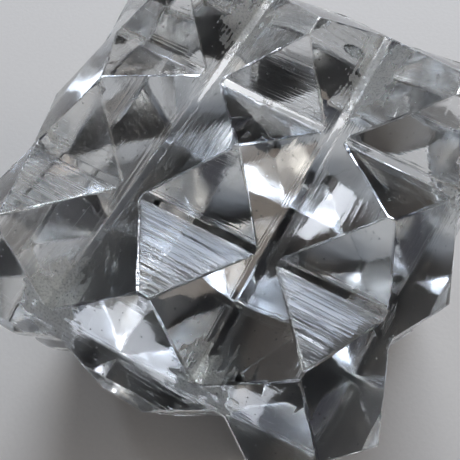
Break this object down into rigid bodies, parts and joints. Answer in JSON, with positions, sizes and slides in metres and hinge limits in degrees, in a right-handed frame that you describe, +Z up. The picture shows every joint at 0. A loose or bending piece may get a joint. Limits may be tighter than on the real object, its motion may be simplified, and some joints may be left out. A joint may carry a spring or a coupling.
{
  "type": "carved rock crystal block",
  "caption": "Clear colourless rock crystal block, sawn and polished by hand, with crossed V-grooves that leave low pyramids on every face.",
  "frame": {"origin": "bottom centre: the middle of the flat on the central pyramid of the lower face, on the surface that the block rests on", "axes": "+Z up, away from the face the block rests on. The grooves run along X and Y on the upper and lower faces. -Y is the front face and +X the right face"},
  "size_m": [0.0278, 0.0284, 0.028],
  "materials": {
    "rock_crystal": "clear colourless quartz, ground and hand polished, with fine polishing lines and worn ridges"
  },
  "bodies": {
    "root": {"quartz_crystal": "rock_crystal"}
  },
  "joints": []
}
